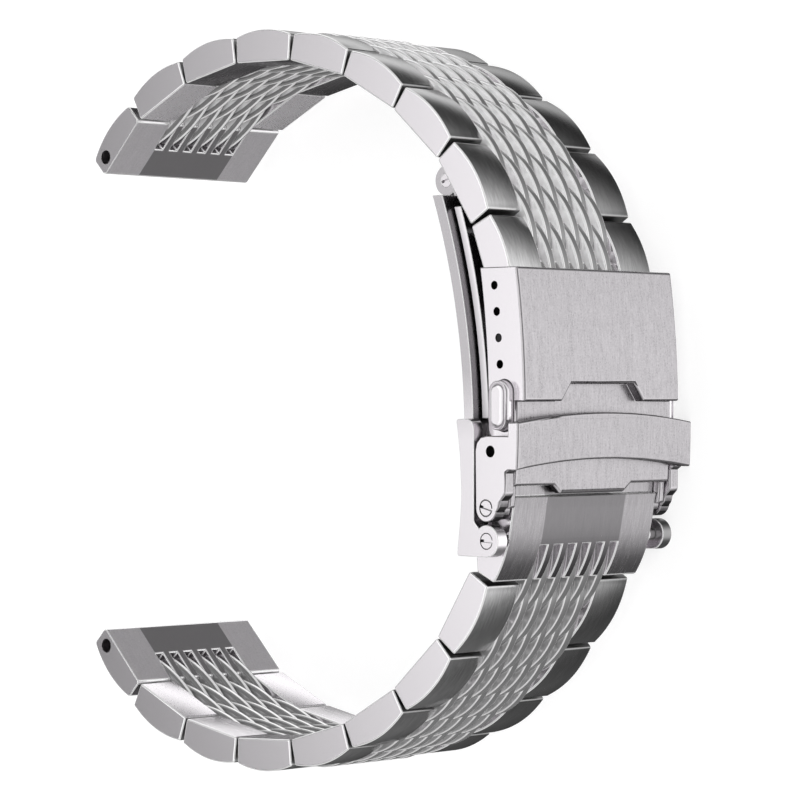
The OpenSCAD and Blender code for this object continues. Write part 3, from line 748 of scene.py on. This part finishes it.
hole_places = [(29.37, 11.69), (29.71, 9.04), (29.96, 6.39), (30.15, 3.72)]
adjuster = [(*place, 0.45) for place in hole_places]
finish = (cover_brushed, satin, lit_soft_edge, wrist_shaded, hole_shade, step_shade)
dress(merged("clasp_cover"), "clasp_cover", finish, 0.1, (0.3, on_top), adjuster)
finish = (lock_brushed, satin, lit_soft_edge, wrist_shaded, hole_shade, step_shade)
lock_holes = [(*lock_window, 0.6), (*lock_screw, 0.9)]
dress(merged("safety_lock"), "safety_lock", finish, 0.1, (0.24, on_top), lock_holes)
for node in ("left_push_button", "right_push_button"):
    dress(merged(node), node, (button_satin,) * 6, 0.1, (0.5, on_head))
# The spring bar inside its holes is painted near black as shade.
dress(merged("adjuster_spring_bar"), "adjuster_spring_bar", (hole_shade,) * 6, 0)
# A screw's flat faces are satin, and its walls and the walls of its slot take painted shade.
screws = (("lock_screws", lock_screw, -48), ("strap_screws", strap_screw, 37))
for node, (x, y), degrees in screws:
    work = merged(node)
    centre = Matrix.Translation((x * MM, y * MM, 0))
    turned = centre @ Matrix.Rotation(math.radians(degrees), 4, "Z") @ centre.inverted()
    bmesh.ops.transform(work, matrix=turned, verts=work.verts)
    dress(work, node, (painted_shade_steel, satin, satin, painted_shade_steel, hole_shade, painted_shade_steel), 0)
for node in ("blade_hinge_pin", "cover_hinge_pin"):
    dress(merged(node), node, (button_satin,) * 6, 0)
frame["nodes"]["button_springs"].data.materials.clear()
frame["nodes"]["button_springs"].data.materials.append(polished)

# %% [markdown]
# ## Studio
#
# Steel shows the room. The floor is pale and plain for the camera, and the room that the
# steel mirrors is a ring of soft white and grey cards round the table: bright behind the
# camera's left shoulder and in front of the clasp, dark above and below the clasp's side.
# That ring is what puts a gradient along each crowned block. Its brightness was tuned by comparing
# how bright a region is in the render and in the photograph. Only mirror rays see the ring and the
# ceiling. All other rays see plain white.

# %% Floor, world and lamps
world = bpy.data.worlds.new("studio")
bpy.context.scene.world = world
nodes = Nodes(world)
ray = nodes.node("ShaderNodeLightPath")
direction = nodes.node("ShaderNodeTexCoord").outputs["Generated"]
split = nodes.node("ShaderNodeSeparateXYZ", {}, {0: direction})
x, y, z = (Num(nodes, s) for s in split.outputs)
turn = nodes.node("ShaderNodeMath", {"operation": "ARCTAN2"}, {0: y, 1: x})
turn = Num(nodes, turn.outputs[0]) * (0.5 / math.pi) + 0.5
cards = [(-180, 0.08), (-165, 0.09), (-150, 0.12), (-138, 0.18), (-122, 0.23), (-105, 0.2),
         (-85, 0.13), (-72, 0.14), (-60, 0.19), (-50, 0.3), (-42, 0.58), (-34, 1.0),
         (-25, 1.3), (0, 1.4), (20, 1.4), (30, 1.15), (38, 0.88), (46, 0.6), (55, 0.37),
         (66, 0.19), (76, 0.1), (86, 0.05), (96, 0.04), (104, 0.08), (111, 0.3), (118, 0.9),
         (125, 1.45), (135, 1.5), (147, 1.05), (157, 0.65), (168, 0.3), (180, 0.08)]
ring = nodes.node(
    "ShaderNodeValToRGB",
    {"stops": [((a + 180) / 360, (v, v, v)) for a, v in cards], "interpolation": "LINEAR"},
    {0: turn},
)
above = z.between(-0.45, -0.05)
ceiling = nodes.node(
    "ShaderNodeValToRGB",
    {"stops": [(0.0, (0.9,) * 3), (0.5, (0.05,) * 3), (0.645, (0.0,) * 3), (0.745, (0.98,) * 3),
               (1.0, (0.9,) * 3)]},
    {0: z},
)
mirror = nodes.node(
    "ShaderNodeMix",
    {"data_type": "RGBA"},
    {"Factor": above, 6: ring.outputs[0], 7: ceiling.outputs[0]},
)
glossy = nodes.node(
    "ShaderNodeMix",
    {"data_type": "RGBA"},
    {"Factor": ray.outputs["Is Glossy Ray"], 6: (1, 1, 1, 1), 7: mirror.outputs[2]},
)
sky = nodes.node("ShaderNodeBackground", {}, {0: glossy.outputs[2], 1: 1.0})
nodes.node("ShaderNodeOutputWorld", {}, {0: sky.outputs[0]})

floor_material = bpy.data.materials.new("floor")
nodes = Nodes(floor_material)
ray = nodes.node("ShaderNodeLightPath")
matt = nodes.node("ShaderNodeBsdfDiffuse", {}, {0: (0.97, 0.97, 0.97, 1)})
glow = nodes.node("ShaderNodeEmission", {}, {0: (1, 1, 1, 1), 1: 1.2})
pale = nodes.node(
    "ShaderNodeMixShader", {}, {0: 0.6, 1: matt.outputs[0], 2: glow.outputs[0]}
)
open_air = nodes.node("ShaderNodeBsdfTransparent")
both = nodes.node(
    "ShaderNodeMixShader",
    {},
    {0: ray.outputs["Is Glossy Ray"], 1: pale.outputs[0], 2: open_air.outputs[0]},
)
nodes.node("ShaderNodeOutputMaterial", {}, {0: both.outputs[0]})
mesh = bpy.data.meshes.new("floor")
mesh.from_pydata([(-3, -3, 0), (3, -3, 0), (3, 3, 0), (-3, 3, 0)], [], [(0, 1, 2, 3)])
mesh.materials.append(floor_material)
floor = bpy.data.objects.new("floor", mesh)
bpy.context.scene.collection.objects.link(floor)

sun = bpy.data.lights.new("soft_sun", "SUN")
sun.energy = 0.25
sun.angle = math.radians(60)
lamp = bpy.data.objects.new("soft_sun", sun)
lamp.rotation_euler = (math.radians(-7), math.radians(-18), 0)
bpy.context.scene.collection.objects.link(lamp)
bpy.context.scene.view_settings.view_transform = "Standard"
print("studio ready")
